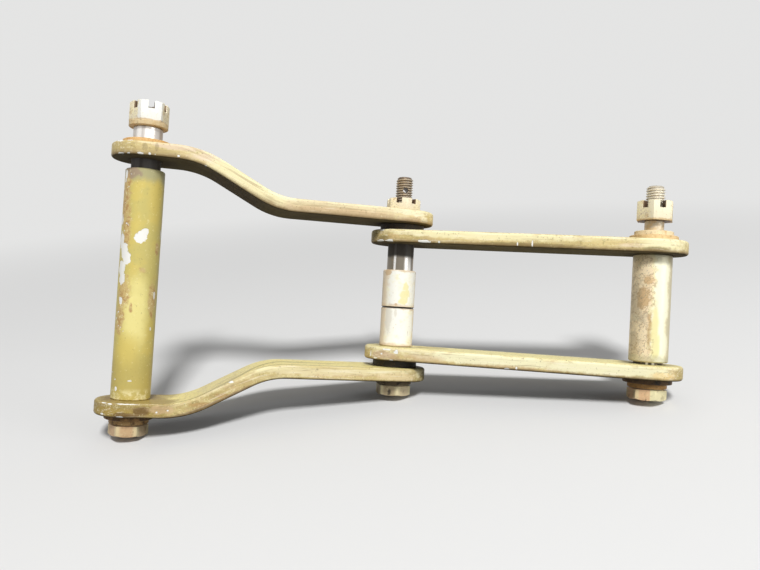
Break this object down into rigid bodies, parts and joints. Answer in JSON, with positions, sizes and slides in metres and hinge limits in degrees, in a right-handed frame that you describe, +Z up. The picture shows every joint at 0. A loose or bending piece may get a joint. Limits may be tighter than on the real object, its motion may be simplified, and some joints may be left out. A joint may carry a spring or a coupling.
{
  "type": "flap scissor link",
  "caption": "Folding linkage of a joggled outer pair and a straight inner pair of flat links, joined by bolts through sleeves, tubes and spacers, with castellated nuts.",
  "frame": {"origin": "centre of the middle bolt head's face", "axes": "+Z up from the ground on which the three bolt heads stand, +X level along the line from the left bolt head to the right one, +Y away from the open side of the fold"},
  "size_m": [0.202, 0.0554, 0.1099],
  "materials": {
    "olive_link": "olive drab finish over steel, satin, with pale chips along the edges and brown staining",
    "olive_tube": "olive green paint, satin, with white chips and rust patches",
    "gold_tube": "worn gold and grey plating, satin, mottled",
    "cream_spacer": "pale cream plating, satin, with tan stains and a yellow patch",
    "bright_steel": "bare bright steel with dark marks",
    "dull_steel": "bare dark grey steel, satin",
    "gold_bolt": "gold and coppery plating, worn",
    "pale_nut": "pale plating with tan stains",
    "rusty_washer": "rusty ochre plating",
    "dark_washer": "dark and dirty"
  },
  "bodies": {
    "outer_pair": {"outer_link_upper": "olive_link", "outer_link_lower": "olive_link", "middle_bolt": "gold_bolt", "middle_nut": "pale_nut", "middle_sleeve": "dull_steel", "middle_head_washer": "rusty_washer", "middle_upper_washer": "dark_washer", "middle_lower_washer": "dark_washer", "left_upper_washer": "rusty_washer", "left_lower_washer": "rusty_washer"},
    "inner_pair": {"inner_link_upper": "olive_link", "inner_link_lower": "olive_link", "right_upper_washer": "rusty_washer", "right_lower_washer": "rusty_washer"},
    "left_axle": {"left_bolt": "gold_bolt", "left_nut": "pale_nut", "left_sleeve": "bright_steel", "left_nut_washer": "rusty_washer", "left_head_washer": "rusty_washer"},
    "left_tube": {"left_tube": "olive_tube"},
    "right_axle": {"right_bolt": "gold_bolt", "right_nut": "pale_nut", "right_sleeve": "bright_steel", "right_nut_washer": "rusty_washer", "right_head_washer": "rusty_washer"},
    "right_tube": {"right_tube": "gold_tube"},
    "lower_spacer": {"lower_spacer": "cream_spacer"},
    "upper_spacer": {"upper_spacer": "cream_spacer"}
  },
  "joints": [
    {"name": "scissor_fold", "type": "hinge", "parent": "outer_pair", "child": "inner_pair", "pos_m": [0.0044, 0.00825, 0.03486], "axis": [0.1218, 0.2287, 0.9659], "range_deg": [-141, 193]},
    {"name": "left_axle_spin", "type": "hinge", "parent": "outer_pair", "child": "left_axle", "pos_m": [-0.08321, -0.00872, 0.04993], "axis": [0.1218, 0.2287, 0.9659], "continuous": true},
    {"name": "left_tube_spin", "type": "hinge", "parent": "outer_pair", "child": "left_tube", "pos_m": [-0.08321, -0.00872, 0.04993], "axis": [0.1218, 0.2287, 0.9659], "continuous": true},
    {"name": "right_axle_spin", "type": "hinge", "parent": "inner_pair", "child": "right_axle", "pos_m": [0.08874, -0.01359, 0.02939], "axis": [0.1218, 0.2287, 0.9659], "continuous": true},
    {"name": "right_tube_spin", "type": "hinge", "parent": "inner_pair", "child": "right_tube", "pos_m": [0.08874, -0.01359, 0.02939], "axis": [0.1218, 0.2287, 0.9659], "continuous": true},
    {"name": "lower_spacer_spin", "type": "hinge", "parent": "outer_pair", "child": "lower_spacer", "pos_m": [0.0044, 0.00825, 0.03486], "axis": [0.1218, 0.2287, 0.9659], "continuous": true},
    {"name": "upper_spacer_lift", "type": "slide", "parent": "outer_pair", "child": "upper_spacer", "axis": [0.1218, 0.2287, 0.9659], "range_m": [0, 0.00925]}
  ]
}
